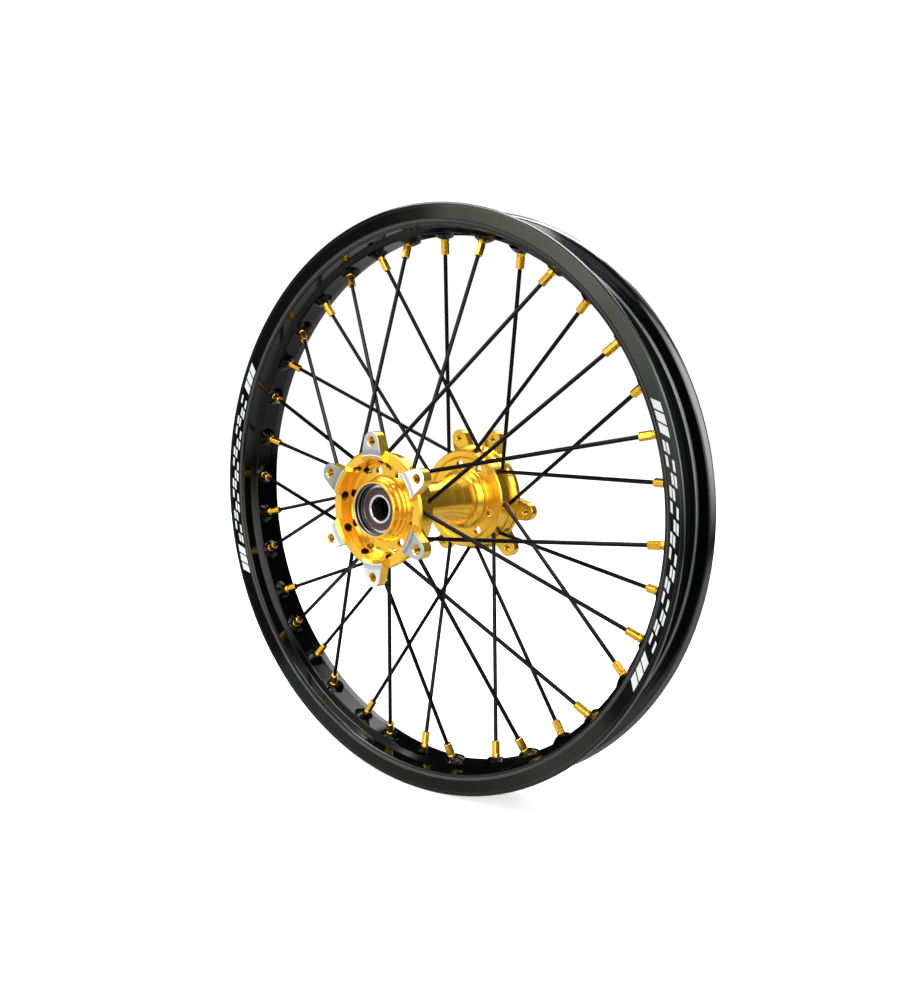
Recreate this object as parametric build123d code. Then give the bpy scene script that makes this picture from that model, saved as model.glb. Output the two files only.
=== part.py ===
from build123d import *
import math
import os

# Spoked motorcycle wheel: 36-spoke rim, machined hub, straight-pull spokes with
# nipples, two deep-groove ball bearings and the tube between them.
# Millimetres. The spin axis is Y and +Z is up. NEAR is the sprocket side (-Y),
# FAR is the brake-disc side (+Y). Angles round the wheel are degrees from +Z
# towards +X. Names ending in _R are radii, in _Y places along the axis.

os.makedirs("parts", exist_ok=True)

# ---------------------------------------------------------------- dimensions
# rim
RIM_R = 256.0                         # crest of the flanges
BEAD_R = 242.0                        # bead seat at the flange
WELL_OUT_R, WELL_IN_R = 235.8, 232.8  # tyre side and hub side of the well floor
RIM_HALF_W = 26.6                     # half of the overall width
WALL_IN_R, WALL_IN_HALF_W = 243.4, 24.0  # inner edge of the flat side wall
WALL_OUT_R = 254.0                    # its outer edge, at the full width
VALVE_HOLE_R = 4.25

# lacing: crossing pairs of spokes on each side
PAIR_COUNT = 9
PAIR_STEP = 360 / PAIR_COUNT
GAP_PHI = 8.4                    # middle of the wide nipple gap, where the valve hole is
CROSS_OFFSET = 4.7               # from the middle of a gap to the nearest crossing
NEAR_CROSS_PHI = GAP_PHI + PAIR_STEP - CROSS_OFFSET
FAR_CROSS_PHI = GAP_PHI + CROSS_OFFSET
FAN = 29.4                       # from a pair's crossing to each of its nipples
NIP_MID_R, NIP_MID_Y = 224.0, 4.4
NIP_END_R = 217.0                # hub end of a nipple
NEAR_CROSS_R, FAR_CROSS_R = 41.0, 44.5
NEAR_SEAT_R, FAR_SEAT_R = 42.0, 41.8     # where the spoke heads seat in the hub

# spokes and their seats in the hub
SPOKE_R, SPOKE_HOLE_R = 1.75, 1.87
SPOKE_HOLE_L = 22
SPOKE_TAIL = 16.6                # length beyond the hub end of the nipple
HEAD_R, HEAD_L = 3.05, 2.4
POCKET_R, POCKET_L = 3.7, 7.5

# nipples, and their holes and dimples in the rim; heights are from NIP_END_R
NIP_BORE_R = 1.80
NIP_FLATS, NIP_FLATS_L = 6.5, 10.2       # across the flats, length of the flats
NIP_COLLAR_R, NIP_SHANK_R, NIP_HEAD_R = 3.55, 3.2, 4.8
NIP_L = 19.4
SLOT_W, SLOT_H, SLOT_MID = 1.4, 2.2, 18.9
RIM_HOLE_R, SINK_BASE, SINK_GROWTH = 3.35, 15.72, 2.1
RIM_HOLE_BASE, RIM_HOLE_TOP = 10.6, 24.6
DIMPLE_FACE, DIMPLE_L = 13.6, 4.3
DIMPLE_TIP_R, DIMPLE_ROOT_R = 6.4, 10.6

# bearings, 20 x 42 x 12
BORE_R, BEARING_R, BEARING_HALF_W = 10.0, 21.0, 6.0
NEAR_BEARING_Y, FAR_BEARING_Y = -64.0, 50.0        # middle planes
NEAR_SHOULDER_Y = NEAR_BEARING_Y + BEARING_HALF_W  # faces turned towards each other
FAR_SHOULDER_Y = FAR_BEARING_Y - BEARING_HALF_W
PITCH_R, BALL_R, BALL_COUNT = 15.5, 3.175, 9
GROOVE_R, GROOVE_GAP = 3.3, 0.02         # section of the ball groove, gap under a ball
OUTER_LAND_R, INNER_LAND_R = 17.7, 12.8  # shoulders beside the grooves
OUTER_STEP_R, INNER_STEP_R = 18.4, 12.1  # steps for the seals
STEP_L = 1.5
SEAL_GAP, SEAL_BACK = 0.06, 1.3          # gap on the inner ring, depth of the back face
CAGE_HALF_T, CAGE_HALF_W, CAGE_GAP = 1.2, 3.8, 0.07
TUBE_R, TUBE_BEVEL = 12.6, 0.4

# hub lugs; Y0 is the foot of a lug and Y1 its outer face
LUG_TIP_R, LUG_BEVEL = 8.2, 0.4
LUG_ROOT_R = 40.0                        # radius where the root width is given
NEAR_LUG_R, FAR_LUG_R = 57.0, 58.0
NEAR_LUG_HALF, FAR_LUG_HALF = 12.2, 10.6  # half width of a lug at its root
NEAR_LUG_Y0, NEAR_LUG_Y1 = -69.8, -80.0
FAR_LUG_Y0, FAR_LUG_Y1 = 60.0, 68.0
NEAR_LUG_T, FAR_LUG_T = NEAR_LUG_Y0 - NEAR_LUG_Y1, FAR_LUG_Y1 - FAR_LUG_Y0
NEAR_LUG_PHIS = [0, 60, 120, 180, 240, 300]
FAR_LUG_PHIS = [20, 100, 140, 220, 260, 340]
NEAR_LUG_HOLE_R = 3.4                    # M8 tapping size
FAR_LUG_HOLE_R = 2.5                     # M6 tapping size
NEAR_FACE_Y, FAR_FACE_Y = -74.6, 64.4    # flange faces between the lugs

# lightening holes in each web: three pairs, 40 degrees apart in a pair
LIGHT_PITCH_R, LIGHT_HOLE_R = 32.5, 3.6
NEAR_LIGHT_PHI, FAR_LIGHT_PHI = 348, 351  # first hole of the first pair

# stripes on the near side wall of the rim
STRIPE_T = 0.12
BAND_IN, BAND_OUT = 0.05, 0.72           # the band, as shares of the wall's width
ROW_COUNT, ROW_FILL = 3, 0.78            # rows of dashes, share of a row that is filled
BAR_IN_R, BAR_OUT_R = 240.0, 258.0       # bars are drawn longer than the band is wide
BAR_LEAN, LEAN_BACK = 3.5, 0.37          # degrees of lean, share of it before the bar's angle
BAR_W, BAR_PITCH, BAR_COUNT = 1.78, 2.15, 3  # bars at each end of a set, degrees
DASH_MARGIN = 7.3                        # degrees from the end of a set to its dashes
DASH_COUNT, DASH_FILL = 14, 0.74


# ---------------------------------------------------------------- helpers
def polar(phi, r, y):
    a = math.radians(phi)
    return Vector(r * math.sin(a), y, r * math.cos(a))


def rev_y(points):
    """Solid of revolution about Y from (r, y) corner points."""
    face = make_face(Polyline(*points, close=True))
    return revolve(face, axis=Axis.Y, revolution_arc=360)


def rev_z(points):
    """Solid of revolution about Z from (r, z) corner points."""
    face = make_face(Plane.XZ * Polyline(*points, close=True))
    return revolve(face, axis=Axis.Z, revolution_arc=360)


def rod(radius, length):
    """Cylinder standing on the local XY plane."""
    return Cylinder(radius, length, align=(Align.CENTER, Align.CENTER, Align.MIN))


def aimed(origin, direction):
    """Location with local Z along a direction."""
    return Plane(origin=origin, z_dir=direction).location


def facing(y):
    """Plane square to the wheel's axis, local X along X, local Y along Z, facing -Y."""
    return Plane(origin=(0, y, 0), x_dir=(1, 0, 0), z_dir=(0, -1, 0))


def save(name, shape):
    """Write a shape, or a list of solids, as one STEP file."""
    solids = shape if isinstance(shape, list) else shape.solids()
    piece = solids[0] if len(solids) == 1 else Compound(children=list(solids))
    piece.label = name
    export_step(piece, f"parts/{name}.step")


# ---------------------------------------------------------------- lacing
def at_radius(start, direction, r):
    """Point at distance r from the Y axis, where the line runs outward."""
    a = direction.X**2 + direction.Z**2
    b = 2 * (start.X * direction.X + start.Z * direction.Z)
    c = start.X**2 + start.Z**2 - r * r
    t = (-b + math.sqrt(b * b - 4 * a * c)) / (2 * a)
    return start + direction * t


def spoke_frame(origin, direction):
    """Local Z along the spoke, local X square to it and to the wheel's axis."""
    across = direction.cross(Vector(0, 1, 0)).normalized()
    return Plane(origin=origin, x_dir=across, z_dir=direction).location


def spoke_family(cross_phi, fan, cross_r, cross_y, nip_y, seat_r):
    """Per spoke: frame at the head seat, frame at the nipple end, length between them."""
    family = []
    for i in range(PAIR_COUNT):
        phi = cross_phi + PAIR_STEP * i
        crossing = polar(phi, cross_r, cross_y)
        direction = (polar(phi + fan, NIP_MID_R, nip_y) - crossing).normalized()
        seat = at_radius(crossing, direction, seat_r)
        end = at_radius(crossing, direction, NIP_END_R)
        frames = spoke_frame(seat, direction), spoke_frame(end, direction)
        family.append((*frames, (end - seat).length))
    return family


def near_family(fan, cross_y):
    return spoke_family(NEAR_CROSS_PHI, fan, NEAR_CROSS_R, cross_y, -NIP_MID_Y, NEAR_SEAT_R)


def far_family(fan, cross_y):
    return spoke_family(FAR_CROSS_PHI, fan, FAR_CROSS_R, cross_y, NIP_MID_Y, FAR_SEAT_R)


FAMILIES = {
    "sprocket_outer": near_family(FAN, -71.2),
    "sprocket_inner": near_family(-FAN, -61.3),
    "disc_outer": far_family(-FAN, 54.5),
    "disc_inner": far_family(FAN, 46.0),
}
ALL_SPOKES = [spoke for family in FAMILIES.values() for spoke in family]

# ---------------------------------------------------------------- rim
# (r, y) of the +Y half of the section: tyre side outwards, then back on the hub side
RIM_HALF = [
    (WELL_OUT_R, 0.0), (WELL_OUT_R, 6.6), (236.2, 7.4), (240.5, 11.9), (241.2, 12.6),
    (241.5, 13.6), (BEAD_R - 0.05, 18.9), (242.3, 19.5), (243.1, 20.15), (244.4, 20.65),
    (247.0, 21.25), (251.6, 22.15), (252.9, 22.55), (254.0, 23.1), (254.9, 23.75),
    (255.6, 24.45), (RIM_R, 25.1), (RIM_R, 25.5), (255.8, 26.0), (255.4, 26.4),
    (254.7, RIM_HALF_W), (WALL_OUT_R, RIM_HALF_W), (WALL_IN_R, WALL_IN_HALF_W),
    (242.9, 23.7), (242.6, 23.0), (242.2, 22.9), (241.9, 23.3), (241.2, 23.3),
    (239.4, 22.8), (238.4, 22.2), (238.0, 21.4), (237.4, 13.6), (236.9, 12.8),
    (233.5, 9.2), (WELL_IN_R, 8.0),
]


def make_rim():
    rim = rev_y(RIM_HALF + [(r, -y) for r, y in reversed(RIM_HALF) if y > 0])
    dimple_top = DIMPLE_FACE + DIMPLE_L
    dimple = rev_z([
        (0, DIMPLE_FACE), (DIMPLE_TIP_R - 0.7, DIMPLE_FACE), (DIMPLE_TIP_R, DIMPLE_FACE + 0.4),
        (DIMPLE_ROOT_R, dimple_top), (0, dimple_top),
    ])
    sink_r = RIM_HOLE_R + SINK_GROWTH
    hole = rev_z([
        (0, RIM_HOLE_BASE), (RIM_HOLE_R, RIM_HOLE_BASE), (RIM_HOLE_R, SINK_BASE),
        (sink_r, SINK_BASE + SINK_GROWTH), (sink_r, RIM_HOLE_TOP), (0, RIM_HOLE_TOP),
    ])
    rim = rim.fuse(*[end * dimple for _, end, _ in ALL_SPOKES])
    holes = [end * hole for _, end, _ in ALL_SPOKES]
    valve_dir = polar(GAP_PHI, 1, 0)
    holes.append(aimed(valve_dir * 225, valve_dir) * rod(VALVE_HOLE_R, 20))
    return rim.cut(*holes)


# ---------------------------------------------------------------- hub
# (r, y) of the turned section
HUB_SECTION = [
    # near flange: face between the lugs, bevel, edge, ring wall, web
    (41.3, NEAR_FACE_Y), (48.6, NEAR_FACE_Y), (50.0, -73.5), (50.3, -72.9), (50.3, -71.9),
    (49.7, -71.3), (47.2, -71.3), (46.5, -70.7), (46.5, -55.6), (45.4, -54.5), (39.6, -54.5),
    (38.6, -55.5), (37.8, -59.5), (27.2, -59.5), (26.4, -58.7), (24.8, -54.4), (22.4, -50.4),
    (20.0, -48.4), (18.6, -46.0), (18.2, -42.0),
    # barrel
    (18.0, -10.0), (18.6, 8.0), (20.2, 20.0), (22.0, 27.0), (22.6, 30.0), (22.6, 33.0),
    (23.4, 34.4), (26.2, 36.6), (27.4, 38.0), (27.8, 39.2), (27.8, 42.5), (28.2, 42.9),
    # far dish: web, ring wall, flare, mouth
    (37.2, 42.9), (38.2, 41.9), (39.1, 41.0), (43.9, 41.0), (45.0, 42.1), (45.0, 56.2),
    (45.6, 57.2), (48.6, 58.6), (49.4, 59.6), (49.4, FAR_FACE_Y - 0.8), (48.6, FAR_FACE_Y),
    (41.0, FAR_FACE_Y), (40.4, FAR_FACE_Y - 0.6), (39.3, 48.1), (38.1, 46.9), (26.7, 46.9),
    (25.5, 48.1), (25.5, 62.2), (24.7, 63.0), (22.6, 63.0),
    # far bearing seat with a ring groove, the bore, near bearing seat with its groove
    (21.9, 62.3), (21.9, 60.4), (BEARING_R, 59.6), (BEARING_R, 58.9), (22.2, 58.9),
    (22.2, 57.2), (BEARING_R, 57.2), (BEARING_R, FAR_SHOULDER_Y), (17.4, FAR_SHOULDER_Y),
    (15.4, FAR_SHOULDER_Y - 2), (15.4, NEAR_SHOULDER_Y + 2), (17.4, NEAR_SHOULDER_Y),
    (BEARING_R, NEAR_SHOULDER_Y), (BEARING_R, -71.2), (22.0, -71.2), (22.0, -72.9),
    (BEARING_R, -72.9), (BEARING_R, -74.3), (21.6, -74.9), (21.6, -77.3), (22.3, -78.0),
    # near boss with its steps, floor and inner wall of the dish
    (23.6, -78.0), (24.3, -77.3), (24.3, -72.2), (25.5, -71.4), (25.5, -67.6), (26.8, -66.8),
    (26.8, -64.4), (28.2, -63.1), (37.0, -63.1), (38.9, -64.6), (41.0, -73.9),
]
# (r, y) of the cuts through the lugs: each dish with a lip at its mouth, and a
# shallow turned recess in the foot of each near lug face
NEAR_DISH = [
    (0, -90), (45.2, -90), (45.2, -80.2), (42.9, -78.4), (42.3, -77.8), (41.3, NEAR_FACE_Y),
    (41.0, -73.9), (40.0, -69.5), (40.0, -60), (0, -60),
]
NEAR_RECESS = [(45.2, -90), (50.2, -90), (50.2, -80.0), (48.0, -79.5), (45.2, -79.4)]
FAR_DISH = [
    (0, 50), (40.0, 50), (40.2, 62.0), (41.0, FAR_FACE_Y), (41.6, 66.4), (43.8, 68.2),
    (43.8, 75), (0, 75),
]


def make_lug(phi, lug_r, half, top_y, thick):
    """Round tip with straight sides that widen to the root; runs from top_y towards -Y."""
    # the sides run from the root to a tangent on the tip circle
    rise = lug_r - LUG_ROOT_R
    tangent = math.atan2(half, rise) + math.acos(LUG_TIP_R / math.hypot(rise, half)) - math.pi / 2
    x = LUG_TIP_R * math.cos(tangent)
    y = lug_r + LUG_TIP_R * math.sin(tangent)
    outline = (
        Line((-x, y), (-half, LUG_ROOT_R))
        + Line((-half, LUG_ROOT_R), (half, LUG_ROOT_R))
        + Line((half, LUG_ROOT_R), (x, y))
        + ThreePointArc((x, y), (0, lug_r + LUG_TIP_R), (-x, y))
    )
    plate = extrude(facing(top_y) * (Rot(0, 0, -phi) * make_face(outline)), thick)
    face_edges = [
        e for e in plate.edges()
        if abs(e.center().Y - (top_y - thick)) < 1e-3 or abs(e.center().Y - top_y) < 1e-3
    ]
    return chamfer(face_edges, LUG_BEVEL)


def lug_hole(radius, thick, front_bevel, back_bevel):
    """Through hole with a 45 degree bevel at each end, drawn 1 mm past both faces."""
    return rev_z([
        (0, -1), (radius + front_bevel + 1, -1), (radius, front_bevel),
        (radius, thick - back_bevel), (radius + back_bevel + 1, thick + 1), (0, thick + 1),
    ])


def light_holes(first_phi, y0, y1):
    phis = [first_phi + 120 * pair + turn for pair in range(3) for turn in (0, 40)]
    drill = rod(LIGHT_HOLE_R, y1 - y0)
    return [aimed(polar(phi, LIGHT_PITCH_R, y0), (0, 1, 0)) * drill for phi in phis]


def make_hub():
    near_dish, near_recess, far_dish = rev_y(NEAR_DISH), rev_y(NEAR_RECESS), rev_y(FAR_DISH)
    lugs = []
    for phi in NEAR_LUG_PHIS:
        lug = make_lug(phi, NEAR_LUG_R, NEAR_LUG_HALF, NEAR_LUG_Y0, NEAR_LUG_T)
        lugs.append(lug.cut(near_dish, near_recess))
    for phi in FAR_LUG_PHIS:
        lug = make_lug(phi, FAR_LUG_R, FAR_LUG_HALF, FAR_LUG_Y1, FAR_LUG_T)
        lugs.append(lug.cut(far_dish))
    hub = rev_y(HUB_SECTION).fuse(*lugs)

    near_hole = lug_hole(NEAR_LUG_HOLE_R, NEAR_LUG_T, front_bevel=1.4, back_bevel=1.0)
    far_hole = lug_hole(FAR_LUG_HOLE_R, FAR_LUG_T, front_bevel=0.5, back_bevel=0.5)
    tools = []
    for phi in NEAR_LUG_PHIS:
        tools.append(aimed(polar(phi, NEAR_LUG_R, NEAR_LUG_Y1), (0, 1, 0)) * near_hole)
    for phi in FAR_LUG_PHIS:
        tools.append(aimed(polar(phi, FAR_LUG_R, FAR_LUG_Y1), (0, -1, 0)) * far_hole)
    tools += light_holes(NEAR_LIGHT_PHI, -64.0, -57.0)
    tools += light_holes(FAR_LIGHT_PHI, 41.5, 50.0)
    for seat, _, _ in ALL_SPOKES:
        tools.append(seat * Cylinder(SPOKE_HOLE_R, SPOKE_HOLE_L))
        tools.append(seat * (Pos(0, 0, -POCKET_L) * rod(POCKET_R, POCKET_L)))
    return hub.cut(*tools)


# ---------------------------------------------------------------- spokes and nipples
def make_spoke(length):
    """Spoke along Z with its head below the origin."""
    tip = length + SPOKE_TAIL
    return rev_z([
        (0, -HEAD_L), (HEAD_R - 0.6, -HEAD_L), (HEAD_R, -HEAD_L + 0.5), (HEAD_R, -0.9),
        (2.2, 0.0), (SPOKE_R, 0.0), (SPOKE_R, tip - 0.4), (SPOKE_R - 0.4, tip), (0, tip),
    ])


def make_nipple():
    """Nipple along Z with its hub end at the origin."""
    nipple = rev_z([
        (0, 0.0), (2.95, 0.0), (3.55, 0.6), (3.55, 10.0), (3.05, 10.4), (3.05, 10.9),
        (3.3, 11.1), (NIP_COLLAR_R, 11.5), (NIP_COLLAR_R, 12.9), (NIP_SHANK_R, 13.3),
        (NIP_SHANK_R, 15.6), (NIP_HEAD_R, 17.2), (NIP_HEAD_R, 18.8), (4.2, NIP_L), (0, NIP_L),
    ])
    # the hexagon trims the lower part only
    prism = extrude(RegularPolygon(NIP_FLATS / 2, 6, major_radius=False), NIP_FLATS_L)
    nipple = nipple & (prism + Pos(0, 0, NIP_FLATS_L) * rod(8, 12))
    nipple = nipple - Pos(0, 0, -1) * rod(NIP_BORE_R, 25)
    # driver slot across the head
    return (nipple - Pos(0, 0, SLOT_MID) * Box(12, SLOT_W, SLOT_H)).solid()


# ---------------------------------------------------------------- bearings
def groove(centre_r, y):
    """Torus about the wheel's axis."""
    return revolve(Pos(centre_r, y) * Circle(GROOVE_R), axis=Axis.Y, revolution_arc=360)


def outer_ring(y):
    y0, y1 = y - BEARING_HALF_W, y + BEARING_HALF_W
    ring = rev_y([
        (OUTER_STEP_R, y0), (20.4, y0), (BEARING_R, y0 + 0.6), (BEARING_R, y1 - 0.6),
        (20.4, y1), (OUTER_STEP_R, y1), (OUTER_STEP_R, y1 - STEP_L), (OUTER_LAND_R, y1 - STEP_L),
        (OUTER_LAND_R, y0 + STEP_L), (OUTER_STEP_R, y0 + STEP_L),
    ])
    return ring.cut(groove(PITCH_R + BALL_R + GROOVE_GAP - GROOVE_R, y))


def inner_ring(y):
    y0, y1 = y - BEARING_HALF_W, y + BEARING_HALF_W
    ring = rev_y([
        (BORE_R + 0.5, y0), (INNER_STEP_R, y0), (INNER_STEP_R, y0 + STEP_L),
        (INNER_LAND_R, y0 + STEP_L), (INNER_LAND_R, y1 - STEP_L), (INNER_STEP_R, y1 - STEP_L),
        (INNER_STEP_R, y1), (BORE_R + 0.5, y1), (BORE_R, y1 - 0.5), (BORE_R, y0 + 0.5),
    ])
    return ring.cut(groove(PITCH_R - BALL_R - GROOVE_GAP + GROOVE_R, y))


BALL_PHIS = [i * 360 / BALL_COUNT for i in range(BALL_COUNT)]


def balls(y):
    return [(Pos(*polar(phi, PITCH_R, y)) * Sphere(BALL_R)).solid() for phi in BALL_PHIS]


def cage(y):
    pockets = []
    for phi in BALL_PHIS:
        plane = Plane(origin=polar(phi, PITCH_R, y), x_dir=(0, 1, 0), z_dir=polar(phi, 1, 0))
        pockets.append(plane.location * Cylinder(BALL_R + CAGE_GAP, 6))
    r0, r1 = PITCH_R - CAGE_HALF_T, PITCH_R + CAGE_HALF_T
    y0, y1 = y - CAGE_HALF_W, y + CAGE_HALF_W
    return rev_y([(r0, y0), (r1, y0), (r1, y1), (r0, y1)]).cut(*pockets)


def seal(y, side):
    """Rubber seal held in the outer ring, with a fine gap on the inner ring."""
    lip_r = INNER_STEP_R + SEAL_GAP
    # (r, depth below the bearing's face)
    section = [
        (lip_r, 0.4), (13.0, 0.25), (13.6, 0.5), (17.2, 0.5), (OUTER_LAND_R, 0.2),
        (OUTER_STEP_R, 0.2), (OUTER_STEP_R, SEAL_BACK), (lip_r, SEAL_BACK),
    ]
    return rev_y([(r, y + side * (BEARING_HALF_W - depth)) for r, depth in section])


def make_tube():
    y0, y1 = NEAR_SHOULDER_Y, FAR_SHOULDER_Y
    return rev_y([
        (BORE_R, y0), (TUBE_R - TUBE_BEVEL, y0), (TUBE_R, y0 + TUBE_BEVEL),
        (TUBE_R, y1 - TUBE_BEVEL), (TUBE_R - TUBE_BEVEL, y1), (BORE_R, y1),
    ])


# ---------------------------------------------------------------- stripes
def wall_ring(share0, share1):
    """Thin ring on the near side wall between two shares of its width."""
    run_r, run_y = WALL_OUT_R - WALL_IN_R, WALL_IN_HALF_W - RIM_HALF_W
    width = math.hypot(run_r, run_y)

    def on_wall(share, lift):
        return (WALL_IN_R + run_r * share + run_y / width * lift,
                -WALL_IN_HALF_W + run_y * share - run_r / width * lift)

    return rev_y([on_wall(share0, 0), on_wall(share1, 0),
                  on_wall(share1, STRIPE_T), on_wall(share0, STRIPE_T)])


def bar(phi, width):
    """Slanted bar across the side wall, width in degrees."""
    phi_in = phi - LEAN_BACK * BAR_LEAN
    phi_out = phi_in + BAR_LEAN
    corners = [polar(phi_in, BAR_IN_R, 0), polar(phi_out, BAR_OUT_R, 0),
               polar(phi_out + width, BAR_OUT_R, 0), polar(phi_in + width, BAR_IN_R, 0)]
    face = make_face(Polyline(*[(c.X, c.Z) for c in corners], close=True))
    return extrude(facing(-20) * face, 12)


def make_stripes(first, last):
    """Three bars at both ends and a pattern of short dashes between them."""
    band = wall_ring(BAND_IN, BAND_OUT)
    row_w = (BAND_OUT - BAND_IN) / ROW_COUNT * ROW_FILL
    row_pitch = (BAND_OUT - BAND_IN - row_w) / (ROW_COUNT - 1)
    row_starts = [BAND_IN + row_pitch * k for k in range(ROW_COUNT)]
    rows = [wall_ring(start, start + row_w) for start in row_starts]
    solids = []
    for i in range(BAR_COUNT):
        solids += (band & bar(first + BAR_PITCH * i, BAR_W)).solids()
        solids += (band & bar(last - BAR_W - BAR_PITCH * i, BAR_W)).solids()
    pitch = (last - first - 2 * DASH_MARGIN) / DASH_COUNT
    for i in range(DASH_COUNT):
        for k, row in enumerate(rows):
            # every third place is left empty, shifted by one from row to row
            if (i + k) % 3 != 2:
                dash = bar(first + DASH_MARGIN + pitch * i, pitch * DASH_FILL)
                solids += (row & dash).solids()
    return solids


# ---------------------------------------------------------------- all pieces
save("rim", make_rim())
save("hub_body", make_hub())

nipple = make_nipple()
for name, family in FAMILIES.items():
    save(f"spokes_{name}", [(seat * make_spoke(length)).solid() for seat, _, length in family])
    save(f"nipples_{name}", [(end * nipple).solid() for _, end, _ in family])

for side_name, y in (("sprocket_side", NEAR_BEARING_Y), ("disc_side", FAR_BEARING_Y)):
    save(f"bearing_outer_ring_{side_name}", outer_ring(y))
    save(f"bearing_inner_ring_{side_name}", inner_ring(y))
    save(f"bearing_balls_{side_name}", balls(y))
    save(f"bearing_cage_{side_name}", cage(y))
    save(f"bearing_seal_{side_name}_minus", seal(y, -1))
    save(f"bearing_seal_{side_name}_plus", seal(y, 1))
save("axle_spacer_tube", make_tube())

save("stripes_right", make_stripes(68.1, 119.0))
save("stripes_left", make_stripes(249.6, 299.6))
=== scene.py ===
# A spoked wheel with a black rim and spokes, a gold hub and nipples, steel bearings and white
# stripes. The axle lies along Y through the origin and Z is up. The sprocket's lugs face -Y.
# The scene is in metres; places inside the piece materials are in millimetres.
import math
from functools import cached_property

import bmesh
import bpy
from mathutils import Matrix, Vector

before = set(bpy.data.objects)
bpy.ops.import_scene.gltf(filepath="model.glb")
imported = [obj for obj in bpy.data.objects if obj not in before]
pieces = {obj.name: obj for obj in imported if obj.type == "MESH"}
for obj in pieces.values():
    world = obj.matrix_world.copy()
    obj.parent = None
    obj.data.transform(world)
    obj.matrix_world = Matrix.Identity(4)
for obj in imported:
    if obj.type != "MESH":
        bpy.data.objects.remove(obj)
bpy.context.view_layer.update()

MM = 0.001


# ------------------------------------------------------------------ shader helpers
class Value:
    """A node output. Arithmetic on it adds Math nodes."""

    def __init__(self, graph, socket):
        self.graph = graph
        self.socket = socket

    def __add__(self, other):
        return self.graph.math("ADD", self, other)

    def __radd__(self, other):
        return self.graph.math("ADD", other, self)

    def __sub__(self, other):
        return self.graph.math("SUBTRACT", self, other)

    def __rsub__(self, other):
        return self.graph.math("SUBTRACT", other, self)

    def __mul__(self, other):
        return self.graph.math("MULTIPLY", self, other)

    def clamped(self):
        """Hold this Math node's result within 0..1."""
        self.socket.node.use_clamp = True
        return self


class Graph:
    """The node tree of a material or a world."""

    def __init__(self, owner, output_kind):
        owner.use_nodes = True
        self.owner = owner
        self.tree = owner.node_tree
        self.tree.nodes.clear()
        self.output = self.node(output_kind)

    def node(self, kind, inputs=None, **settings):
        node = self.tree.nodes.new("ShaderNode" + kind)
        for key, value in settings.items():
            setattr(node, key, value)
        for key, value in (inputs or {}).items():
            self.put(node.inputs[key], value)
        return node

    def value(self, kind, inputs=None, output=0, **settings):
        return Value(self, self.node(kind, inputs, **settings).outputs[output])

    def put(self, target, value):
        """Link a Value, or set a plain value; colours are given without alpha."""
        if isinstance(value, Value):
            self.tree.links.new(value.socket, target)
        elif target.type == "RGBA":
            target.default_value = (*value, 1.0)
        else:
            target.default_value = value

    def finish(self, shader):
        self.put(self.output.inputs[0], shader)
        return self.owner

    def math(self, operation, *values):
        return self.value("Math", dict(enumerate(values)), operation=operation)

    def dot(self, first, second):
        return self.value("VectorMath", {0: first, 1: second}, "Value", operation="DOT_PRODUCT")

    def ramp(self, value, start, end, low=0.0, high=1.0):
        """Ease from low at start to high at end."""
        inputs = {"Value": value, "From Min": start, "From Max": end, "To Min": low, "To Max": high}
        return self.value("MapRange", inputs, interpolation_type="SMOOTHSTEP")

    def fade(self, value, start, end):
        """1 below start, 0 above end."""
        return 1.0 - self.ramp(value, start, end)

    def band(self, value, start, end, soft):
        """1 between start and end, with edges softened by soft to each side."""
        rise = self.ramp(value, start - soft, start + soft)
        return rise * self.fade(value, end - soft, end + soft)


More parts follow.
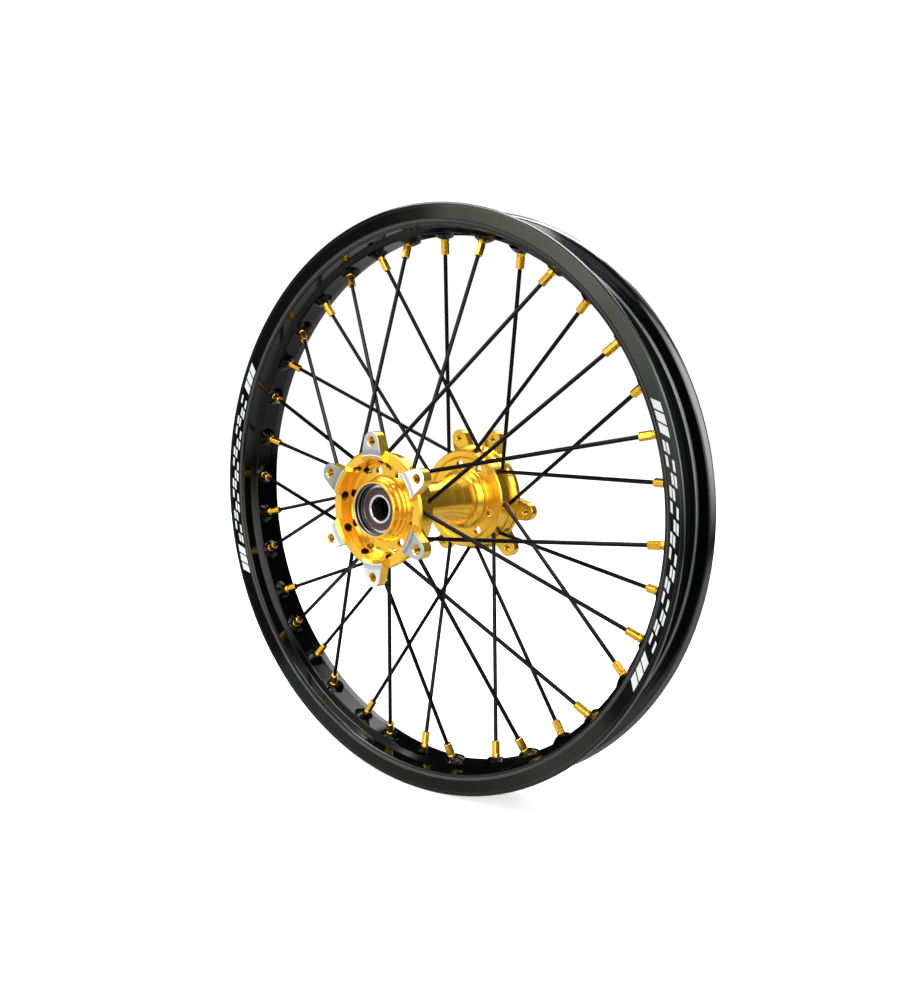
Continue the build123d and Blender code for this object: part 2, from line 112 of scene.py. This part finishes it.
class MaterialGraph(Graph):
    def __init__(self, name):
        super().__init__(bpy.data.materials.new(name), "OutputMaterial")

    @cached_property
    def point(self):
        """Object coordinates in millimetres."""
        place = self.value("TexCoord", output="Object")
        return self.value("VectorMath", {0: place, "Scale": 1 / MM}, operation="SCALE")

    @cached_property
    def xyz(self):
        return self.split(self.point)

    @cached_property
    def radius(self):
        """Distance from the axle's line."""
        x, _, z = self.xyz
        return self.math("SQRT", x * x + z * z)

    @cached_property
    def offset(self):
        """Distance from the wheel's middle plane."""
        return self.math("ABSOLUTE", self.xyz[1])

    @cached_property
    def turn(self):
        """Angle round the axle: 0 is straight down, 0.5 the top, 0.75 the +X side."""
        x, _, z = self.xyz
        return self.math("ARCTAN2", x, z) * (0.5 / math.pi) + 0.5

    def split(self, vector):
        node = self.node("SeparateXYZ", {0: vector})
        return [Value(self, socket) for socket in node.outputs]

    def vector(self, x, y, z):
        return self.value("CombineXYZ", {0: x, 1: y, 2: z})

    def unit(self, vector):
        return self.value("VectorMath", {0: vector}, operation="NORMALIZE")

    def mix(self, amount, base, over):
        """Mix two colours."""
        return self.value("Mix", {0: amount, 6: base, 7: over}, 2, data_type="RGBA")

    def mix_number(self, amount, base, over):
        return self.value("Mix", {0: amount, 2: base, 3: over}, data_type="FLOAT")

    def noise(self, scale, detail, roughness, vector=None):
        return self.value("TexNoise", {
            "Vector": vector or self.point,
            "Scale": scale,
            "Detail": detail,
            "Roughness": roughness,
        })

    def lathe_lines(self, density, roughness):
        """Noise stretched round the wheel into fine turning marks."""
        rings = self.vector(self.radius * density, self.xyz[1] * density, 0.0)
        return self.noise(scale=1.0, detail=5.0, roughness=roughness, vector=rings)

    def curve(self, value, stops):
        """Read a curve given as (position 0..1, value) stops."""
        node = self.node("ValToRGB", {0: value})
        ramp = node.color_ramp
        ramp.interpolation = "EASE"
        while len(ramp.elements) < len(stops):
            ramp.elements.new(0.5)
        for element, (position, level) in zip(ramp.elements, stops):
            element.position = position
            element.color = (level, level, level, 1.0)
        return Value(self, node.outputs[0])

    def bump(self, height, strength, distance, normal=None):
        inputs = {"Strength": strength, "Distance": distance, "Height": height}
        if normal is not None:
            inputs["Normal"] = normal
        return self.value("Bump", inputs)

    def turned_normal(self):
        """Shading normal with no sideways lean wherever the surface is a turned one."""
        normal = self.value("TexCoord", output="Normal")
        x, _, z = self.xyz
        outward = self.unit(self.vector(x, 0.0, z))
        out_x, _, out_z = self.split(outward)
        around = self.vector(out_z, 0.0, out_x * -1.0)
        radial = self.dot(normal, outward)
        sideways = self.dot(normal, around)
        axial = self.dot(normal, (0.0, 1.0, 0.0))
        # the radial part takes up all of the length that the axial part leaves
        length = self.math("SQRT", self.math("MAXIMUM", 1.0 - axial * axial, 0.0))
        reach = self.math("SIGN", radial) * length
        exact = self.vector(out_x * reach, axial, out_z * reach)
        is_turned = self.fade(self.math("ABSOLUTE", sideways), start=0.04, end=0.09)
        mixed = self.value("Mix", {0: is_turned, 4: normal, 5: exact}, 1, data_type="VECTOR")
        in_world = self.value("VectorTransform", {0: mixed}, vector_type="NORMAL",
                              convert_from="OBJECT", convert_to="WORLD")
        return self.unit(in_world)

    def principled(self, color, roughness, normal, **others):
        inputs = {"Base Color": color, "Roughness": roughness, "Normal": normal}
        inputs.update((key.replace("_", " "), value) for key, value in others.items())
        return self.finish(self.value("BsdfPrincipled", inputs))


# ------------------------------------------------------------------ rim
# (turn, strength of the painted reflection on the rim's side band)
RIM_PAINTED_REFLECTION = [
    (0.0, 0.085), (0.055, 0.11), (0.085, 0.125), (0.115, 0.11), (0.142, 0.0), (0.475, 0.0),
    (0.50, 0.06), (0.53, 0.47), (0.57, 0.61), (0.615, 0.69), (0.65, 0.53), (0.69, 0.33),
    (0.725, 0.29), (0.75, 0.02), (0.775, 0.03), (0.845, 0.012), (0.867, 0.16), (0.895, 0.19),
    (0.93, 0.115), (0.97, 0.08), (1.0, 0.085),
]
# the side band is a shallow cone: its offset from the middle plane grows with the radius
BAND_SLOPE = 0.2453


def rim_band_color(g, grain, lines):
    """Black hard coat, with a painted reflection in two stretches: the upper +X side and the
    bottom.
    """
    patch = g.noise(scale=0.016, detail=3.0, roughness=0.55)
    painted_band_reflection = g.curve(g.turn, RIM_PAINTED_REFLECTION)
    for texture, least, spread in ((patch, 0.78, 0.44), (lines, 0.88, 0.24), (grain, 0.90, 0.20)):
        painted_band_reflection = painted_band_reflection * (least + texture * spread)
    # the painted reflection is cooler round the +X side and from the bottom up the -X side
    cool = g.ramp(g.turn, start=0.64, end=0.70) * g.fade(g.turn, start=0.80, end=0.85)
    cool_below = g.ramp(g.turn, start=0.02, end=0.05) * g.fade(g.turn, start=0.3, end=0.4)
    cool = (cool + cool_below).clamped()
    reflection_tint = g.mix(cool, base=(0.105, 0.107, 0.086), over=(0.094, 0.103, 0.099))
    return g.mix(painted_band_reflection, base=(0.0006, 0.0008, 0.0007), over=reflection_tint)


def rim_painted_highlights(g):
    """Painted highlight lines, broken up by noise: flange crests, inner rim of the band, lip, and
    bead seat corner.
    """
    radius, offset = g.radius, g.offset
    patchy = (0.40 + g.noise(scale=0.05, detail=3.0, roughness=0.6) * 0.85).clamped()
    crest = g.ramp(radius, start=255.6, end=255.9) * g.band(offset, 25.0, 25.8, soft=0.15)
    inner = g.band(radius, 242.25, 242.75, soft=0.12) * g.ramp(offset, start=22.8, end=22.95)
    lip = g.band(radius, 240.9, 241.5, soft=0.15) * g.ramp(offset, start=23.0, end=23.2)
    corner = g.band(radius, 242.3, 243.6, soft=0.2) * g.band(offset, 19.4, 20.5, soft=0.1)
    edge_highlights = (crest * 0.75 + inner * 0.55) + (lip * 0.35 + corner * 0.8)
    return edge_highlights.clamped() * patchy


def rim_material():
    """Polished black, with satin side bands, shiny flange lips and a matt tyre side. The side bands
    carry a painted reflection, and the edges painted highlight lines.
    """
    g = MaterialGraph("rim_black_anodised")
    radius, offset = g.radius, g.offset
    grain = g.noise(scale=1.6, detail=4.0, roughness=0.6)
    fine = g.noise(scale=9.0, detail=2.0, roughness=0.6)
    lines = g.lathe_lines(density=2.2, roughness=0.7)

    # regions
    side = g.ramp(radius, start=242.9, end=243.5)
    side = side * g.ramp(offset - radius * BAND_SLOPE, start=-35.95, end=-35.75)
    # painted highlight lines along the crests and edges
    edge_highlights = rim_painted_highlights(g)
    lips = g.ramp(radius, start=252.2, end=253.4) * g.fade(offset, start=26.2, end=26.45)
    # the tyre side starts at a radius that climbs with the offset between two levels
    tyre_radius = g.math("MINIMUM", g.math("MAXIMUM", offset + 226.5, 234.3), 239.8)
    tyre = g.ramp(radius - tyre_radius, start=-0.2, end=0.2)
    tyre = tyre * g.fade(offset, start=18.9, end=19.2)

    polished = g.mix(grain, base=(0.0006, 0.0008, 0.0008), over=(0.0016, 0.0019, 0.0019))
    # the side band's colour holds a painted reflection
    color = g.mix(side, polished, rim_band_color(g, grain, lines))
    # the edges lightened by painted highlights
    color = g.mix(edge_highlights, color, over=(0.20, 0.205, 0.205))

    rough = g.mix_number(side, base=0.07 + fine * 0.06, over=0.24 + fine * 0.10)
    rough = g.mix_number(edge_highlights, rough, over=0.34)
    rough = g.mix_number(tyre, rough, over=0.45)

    # strength of the reflections, stronger away from the middle plane
    well_gloss = g.mix_number(g.ramp(offset, start=8.0, end=23.0), base=0.20, over=0.45)
    gloss = g.mix_number(side, well_gloss, over=0.045)
    gloss = g.mix_number(lips, gloss, over=1.0)
    gloss = g.mix_number(tyre, gloss, over=0.05)

    normal = g.bump(lines, strength=0.15, distance=0.00004, normal=g.turned_normal())
    normal = g.bump(fine, strength=0.08, distance=0.00004, normal=normal)
    return g.principled(color, rough, normal, Metallic=edge_highlights * 0.5,
                        IOR=g.mix_number(lips, base=1.5, over=1.66), Specular_IOR_Level=gloss)


# ------------------------------------------------------------------ hub
# (turn, painted light on the lug's milled face): 0.5 is the top lug, 0.667 the next towards +X
LUG_PAINTED_LIGHT = [
    (0.0, 0.72), (0.08, 0.72), (0.09, 0.95), (0.25, 0.95), (0.26, 0.22), (0.41, 0.22),
    (0.42, 0.40), (0.58, 0.40), (0.59, 1.0), (0.75, 1.0), (0.76, 0.34), (0.91, 0.34),
    (0.92, 0.72), (1.0, 0.72),
]
# (start, end) of the painted highlights at each corner in the bearing seats, as offsets
SEAT_HIGHLIGHTS = [(77.45, 77.95), (74.35, 74.65), (70.25, 70.6)]


def hub_gold(g, fine):
    """Anodised gold with cloudy depth."""
    cloud = g.noise(scale=0.09, detail=4.0, roughness=0.55)
    gold = g.mix(cloud, base=(0.86, 0.47, 0.030), over=(0.96, 0.61, 0.056))
    return g.mix(fine * 0.22, gold, over=(0.98, 0.64, 0.10))


def lug_silver(g, painted_lug_tone, mill):
    """Bare milled metal, with painted light that brightens towards the lug's tip."""
    painted_lug_sheen = (painted_lug_tone + (mill - 0.5) * 0.30).clamped()
    painted_lug_sheen = painted_lug_sheen * (0.72 + g.ramp(g.radius, start=48.0, end=60.0) * 0.28)
    silver = g.mix(painted_lug_sheen, base=(0.16, 0.175, 0.185), over=(0.97, 0.97, 0.98))
    # painted shade in the turned recess at the lug's base, with a painted highlight line at its
    # edge
    foot_shade = g.fade(g.radius, start=49.9, end=50.1)
    silver = g.mix(foot_shade * 0.40, silver, over=(0.14, 0.16, 0.17))
    return g.mix(g.band(g.radius, 45.4, 46.1, soft=0.15), silver, over=(0.95, 0.95, 0.96))


def seat_painted_shade(g, marks):
    """Turned wall painted near black as shade, with painted highlights at each corner, and a
    painted shadow in a groove on the -Y side.
    """
    # painted shade: the bare wall coloured near black
    dark = g.mix(marks, base=(0.022, 0.022, 0.024), over=(0.045, 0.045, 0.049))
    outer, middle, inner = [g.band(g.offset, *span, soft=0.08) for span in SEAT_HIGHLIGHTS]
    corner_highlights = (outer + middle + inner).clamped()
    dark = g.mix(corner_highlights * 0.5, dark, over=(0.70, 0.70, 0.71))
    # painted shadow in the groove
    groove = g.ramp(g.radius, start=21.15, end=21.3)
    groove = groove * g.band(g.xyz[1], -73.0, -71.1, soft=0.12)
    return g.mix(groove, dark, over=(0.004, 0.004, 0.004))


def hub_material():
    """Gold, with lug faces and bearing seats machined bare; the lug faces carry painted light and
    the bearing seats painted shade.
    """
    g = MaterialGraph("hub_gold_anodised")
    x, y, z = g.xyz
    radius = g.radius
    fine = g.noise(scale=6.0, detail=3.0, roughness=0.6)
    marks = g.lathe_lines(density=2.6, roughness=0.75)
    # cutter marks, drawn out along X
    cutter = g.vector(x * 0.35, 0.0, z * 3.2)
    mill = g.noise(scale=1.0, detail=4.0, roughness=0.65, vector=cutter)
    # each lug's face gets its own painted brightness, standing in for the light it catches
    painted_lug_tone = g.curve(g.turn, LUG_PAINTED_LIGHT)

    # regions: the faces at both ends, and the bearing seats at both ends
    sprocket = g.fade(y, start=-79.34, end=-79.28) * g.ramp(radius, start=45.05, end=45.12)
    lug = (sprocket + g.ramp(y, start=67.55, end=67.62)).clamped()
    bore = g.fade(radius, start=22.15, end=22.30) * g.ramp(radius, start=20.0, end=20.5)
    ends = (g.fade(y, start=-57.5, end=-57.0) + g.ramp(y, start=43.0, end=43.5)).clamped()
    seat = bore * ends

    color = g.mix(lug, hub_gold(g, fine), lug_silver(g, painted_lug_tone, mill))
    # bearing seats coloured dark as painted shade
    color = g.mix(seat, color, seat_painted_shade(g, marks))
    rough = g.mix_number(lug, base=0.17 + fine * 0.08, over=0.30 + mill * 0.16)
    rough = g.mix_number(seat, rough, over=0.36)
    normal = g.bump(marks, strength=0.10, distance=0.00004, normal=g.turned_normal())
    return g.principled(color, rough, normal, Metallic=0.80 - lug * (painted_lug_tone * 0.35))


# ------------------------------------------------------------------ smaller pieces
def nipple_material():
    g = MaterialGraph("nipple_gold_anodised")
    cloud = g.noise(scale=0.35, detail=3.0, roughness=0.5)
    fine = g.noise(scale=8.0, detail=3.0, roughness=0.6)
    color = g.mix(cloud, base=(0.86, 0.45, 0.028), over=(0.96, 0.58, 0.06))
    normal = g.bump(fine, strength=0.03, distance=0.00003)
    return g.principled(color, 0.22 + fine * 0.08, normal, Metallic=1.0)


def spoke_material():
    g = MaterialGraph("spoke_black")
    grain = g.noise(scale=2.5, detail=4.0, roughness=0.6)
    fine = g.noise(scale=12.0, detail=2.0, roughness=0.5)
    color = g.mix(grain, base=(0.0008, 0.0008, 0.0009), over=(0.0022, 0.0022, 0.0024))
    normal = g.bump(fine, strength=0.12, distance=0.00004)
    return g.principled(color, 0.14 + grain * 0.08, normal, IOR=1.5, Specular_IOR_Level=0.13)


def turned_metal(name, dark, light, roughness, spread=0.12):
    """Bare turned metal; spread is how far the noise raises the roughness."""
    g = MaterialGraph(name)
    marks = g.lathe_lines(density=4.0, roughness=0.7)
    fine = g.noise(scale=5.0, detail=3.0, roughness=0.5)
    rounded = g.value("Bevel", {"Radius": 0.0003}, samples=4)
    normal = g.bump(marks, strength=0.25, distance=0.00005, normal=rounded)
    color = g.mix(marks, dark, light)
    return g.principled(color, roughness + fine * spread, normal, Metallic=1.0)


def seal_material():
    """Speckled rubber with moulded rings."""
    g = MaterialGraph("seal_rubber")
    speck = g.noise(scale=2.2, detail=5.0, roughness=0.7)
    fine = g.noise(scale=14.0, detail=3.0, roughness=0.6)
    rings = g.math("SINE", g.radius * 5.2)
    color = g.mix(speck, base=(0.036, 0.016, 0.013), over=(0.080, 0.036, 0.030))
    normal = g.bump(rings, strength=0.10, distance=0.00010)
    normal = g.bump(fine, strength=0.35, distance=0.00008, normal=normal)
    return g.principled(color, 0.42 + speck * 0.2, normal, IOR=1.5)


def stripe_material():
    """White film, slightly dusty."""
    g = MaterialGraph("stripe_white_film")
    dust = g.ramp(g.noise(scale=0.9, detail=6.0, roughness=0.75), start=0.35, end=0.75)
    fine = g.noise(scale=7.0, detail=3.0, roughness=0.6)
    color = g.mix(dust, base=(0.60, 0.62, 0.615), over=(0.46, 0.48, 0.475))
    normal = g.bump(fine, strength=0.10, distance=0.00004)
    return g.principled(color, 0.40 + fine * 0.15, normal, IOR=1.45)


# ------------------------------------------------------------------ painting the pieces
def paint(names, material):
    for name in names:
        slots = pieces[name].data.materials
        slots.clear()
        slots.append(material)


def starting(*prefixes):
    return [name for name in pieces if name.startswith(prefixes)]


paint(["rim"], rim_material())
paint(["hub_body"], hub_material())
paint(starting("nipples_"), nipple_material())
paint(starting("spokes_"), spoke_material())
paint(starting("bearing_outer", "bearing_inner"), turned_metal(
    "bearing_steel", dark=(0.62, 0.62, 0.63), light=(0.88, 0.88, 0.89), roughness=0.20))
paint(starting("bearing_balls"), turned_metal(
    "ball_steel", dark=(0.70, 0.70, 0.71), light=(0.82, 0.82, 0.83), roughness=0.05, spread=0.05))
paint(starting("bearing_cage"), turned_metal(
    "cage_steel", dark=(0.38, 0.37, 0.34), light=(0.58, 0.57, 0.53), roughness=0.25))
paint(starting("bearing_seal"), seal_material())
# the spacer tube's near-black colour is painted shade inside the bore
paint(["axle_spacer_tube"], turned_metal(
    "spacer_aluminium", dark=(0.012, 0.012, 0.013), light=(0.035, 0.035, 0.037), roughness=0.35))
paint(starting("stripes_"), stripe_material())


# ------------------------------------------------------------------ floor
FLOOR_SIZE = 9.0
FLOOR_Z = -0.2562


def floor_material():
    """White that glows a little of its own."""
    g = Graph(bpy.data.materials.new("floor_white"), "OutputMaterial")
    glow = g.value("Emission", {"Color": (1, 1, 1), "Strength": 0.62})
    diffuse = g.value("BsdfDiffuse", {"Color": (0.86, 0.86, 0.86)})
    return g.finish(g.value("AddShader", {0: glow, 1: diffuse}))


def build_floor():
    grid = bmesh.new()
    bmesh.ops.create_grid(grid, x_segments=2, y_segments=2, size=FLOOR_SIZE / 2)
    mesh = bpy.data.meshes.new("floor")
    grid.to_mesh(mesh)
    grid.free()
    floor = bpy.data.objects.new("floor", mesh)
    floor.location = (0, 0, FLOOR_Z)
    mesh.materials.append(floor_material())
    bpy.context.scene.collection.objects.link(floor)
    # kept out of reflections and bounced light; the world lights the wheel instead
    floor.visible_glossy = False
    floor.visible_diffuse = False


# ------------------------------------------------------------------ world
TALL_WALL_STRENGTH = 3.4


def build_world():
    """White to the camera; a dark room with pale panels to everything else."""
    world = bpy.data.worlds.new("studio")
    bpy.context.scene.world = world
    g = Graph(world, "OutputWorld")
    direction = g.value("TexCoord", output="Generated")

    def facing(*axis):
        return g.dot(direction, Vector(axis).normalized())

    upward = facing(0, 0, 1)
    # pale floor well below, an almost black room round it, and a pale ceiling
    floor_glow = g.ramp(upward, start=-0.38, end=-0.20, low=0.72, high=0.012)
    room = floor_glow + g.ramp(upward, start=0.72, end=0.93, high=1.3)
    # broad pale panel towards -X -Y, to the camera's left
    room = room + g.ramp(facing(-0.60, -0.78, -0.02), start=0.72, end=0.95, high=0.90)
    # tall soft wall of light towards +X -Y, behind the camera, brightest above the axle
    tall = g.ramp(facing(0.72, -0.69, 0.0), start=0.62, end=0.82)
    tall = tall * g.ramp(upward, start=-0.24, end=0.22)
    tall = tall * g.ramp(upward, start=0.55, end=0.80, low=1.0, high=0.0)
    room = room + tall * TALL_WALL_STRENGTH

    studio = g.value("Background", {"Color": room, "Strength": 1.0})
    backdrop = g.value("Background", {"Color": (1, 1, 1), "Strength": 1.05})
    seen = g.value("LightPath", output="Is Camera Ray")
    g.finish(g.value("MixShader", {0: seen, 1: studio, 2: backdrop}))


# ------------------------------------------------------------------ camera and lights
CAMERA_AZIMUTH = math.radians(39.5)  # from -Y towards +X
CAMERA_ELEVATION = math.radians(6.022)
CAMERA_DISTANCE, CAMERA_RIGHT, CAMERA_UP = 876.9, 14.52, 1.94  # mm
CAMERA_LENS = 35.3304  # mm

# name, place, width, height, power; each light faces the origin
LIGHTS = [
    ("key", (-1.3, -1.6, 1.5), 1.1, 1.1, 34),
    ("top", (0.2, -0.2, 1.9), 1.6, 1.0, 40),
    ("rear", (-0.4, 2.0, 1.6), 1.4, 0.8, 14),
    ("front", (0.4, -2.3, 0.9), 0.8, 0.8, 8),
]


def add_object(name, data, place, rotation):
    item = bpy.data.objects.new(name, data)
    item.location = place
    item.rotation_mode = "QUATERNION"
    item.rotation_quaternion = rotation
    bpy.context.scene.collection.objects.link(item)
    return item


def build_camera():
    """Looks level and a little from above, from the -Y side turned towards +X."""
    sine, cosine = math.sin(CAMERA_AZIMUTH), math.cos(CAMERA_AZIMUTH)
    flat = math.cos(CAMERA_ELEVATION)
    back = Vector((sine * flat, -cosine * flat, math.sin(CAMERA_ELEVATION)))
    right = Vector((cosine, sine, 0))
    up = back.cross(right)
    data = bpy.data.cameras.new("camera")
    data.sensor_fit = "AUTO"
    data.sensor_width = 36.0
    data.lens = CAMERA_LENS
    data.clip_start, data.clip_end = 0.01, 100.0
    place = (back * CAMERA_DISTANCE + right * CAMERA_RIGHT + up * CAMERA_UP) * MM
    rotation = Matrix((right, up, back)).transposed().to_quaternion()
    bpy.context.scene.camera = add_object("camera", data, place, rotation)


def build_lights():
    for name, place, width, height, power in LIGHTS:
        light = bpy.data.lights.new(name, "AREA")
        light.shape = "RECTANGLE"
        light.size, light.size_y = width, height
        light.energy = power
        add_object(name, light, place, (-Vector(place)).to_track_quat("-Z", "Y"))


build_floor()
build_world()
build_camera()
build_lights()

view = bpy.context.scene.view_settings
view.view_transform = "Standard"
view.look = "None"
view.exposure = 0.0
